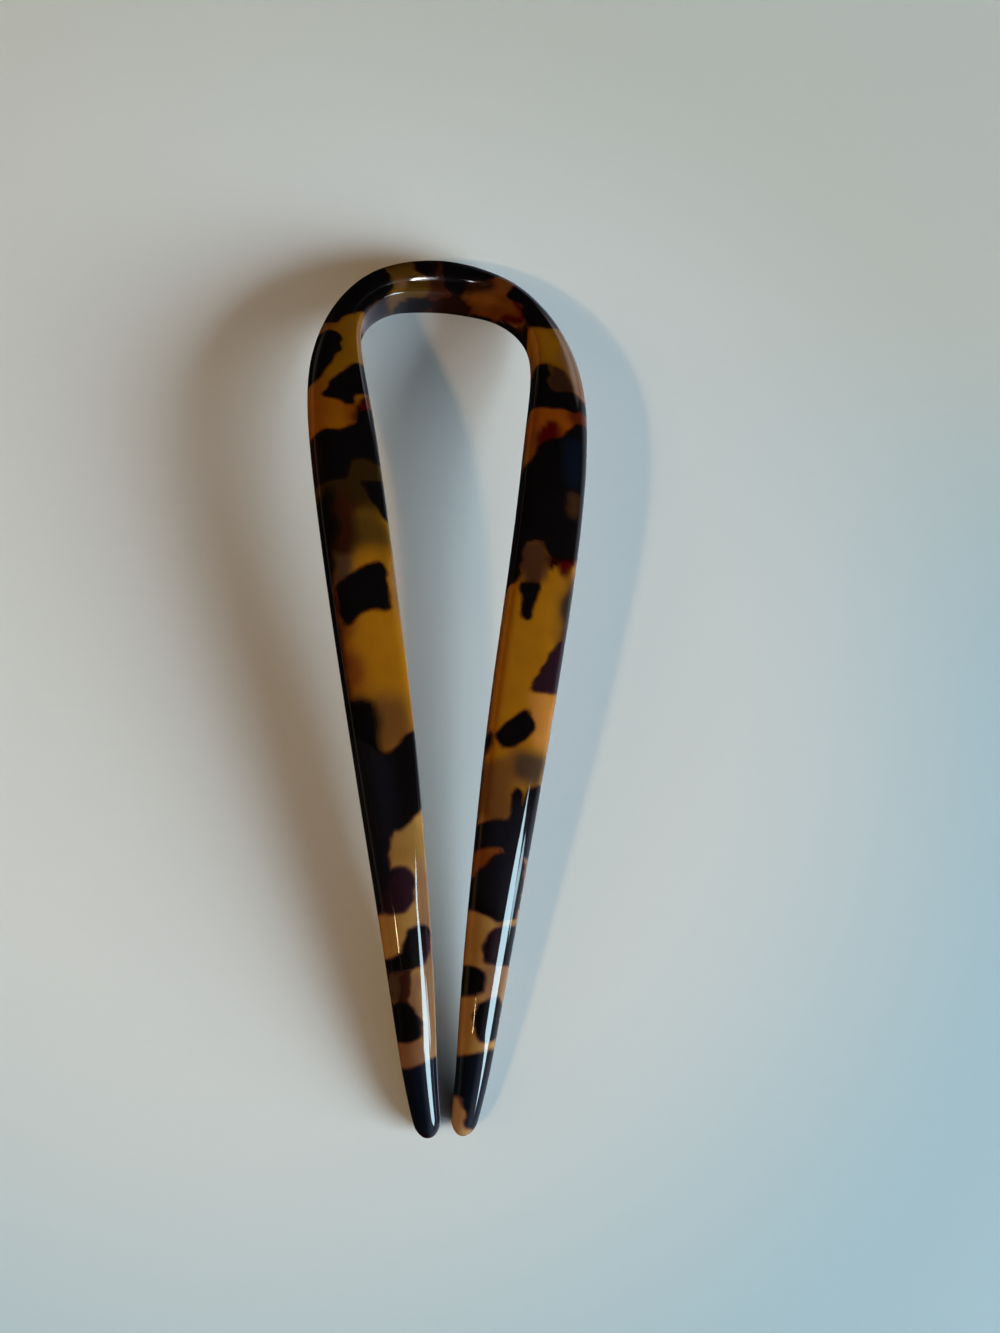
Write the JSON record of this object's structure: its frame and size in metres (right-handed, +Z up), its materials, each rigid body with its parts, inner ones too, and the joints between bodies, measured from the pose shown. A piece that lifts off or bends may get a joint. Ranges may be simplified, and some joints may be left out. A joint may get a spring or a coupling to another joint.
{
  "type": "hair fork",
  "caption": "U-shaped hair fork with tapered prongs, gently arched along its length, that pins a twist or bun of hair held between its prongs.",
  "frame": {"origin": "on the surface that the fork lies on, under the middle of its box", "axes": "+Y from the prong ends to the crown, +X across the fork, +Z up from the surface, with the arched face up"},
  "size_m": [0.0442, 0.1388, 0.0146],
  "materials": {
    "acetate": "tortoiseshell cellulose acetate, amber with dark brown patches, tumbled and polished to a gloss"
  },
  "bodies": {
    "root": {"fork": "acetate"}
  },
  "joints": []
}
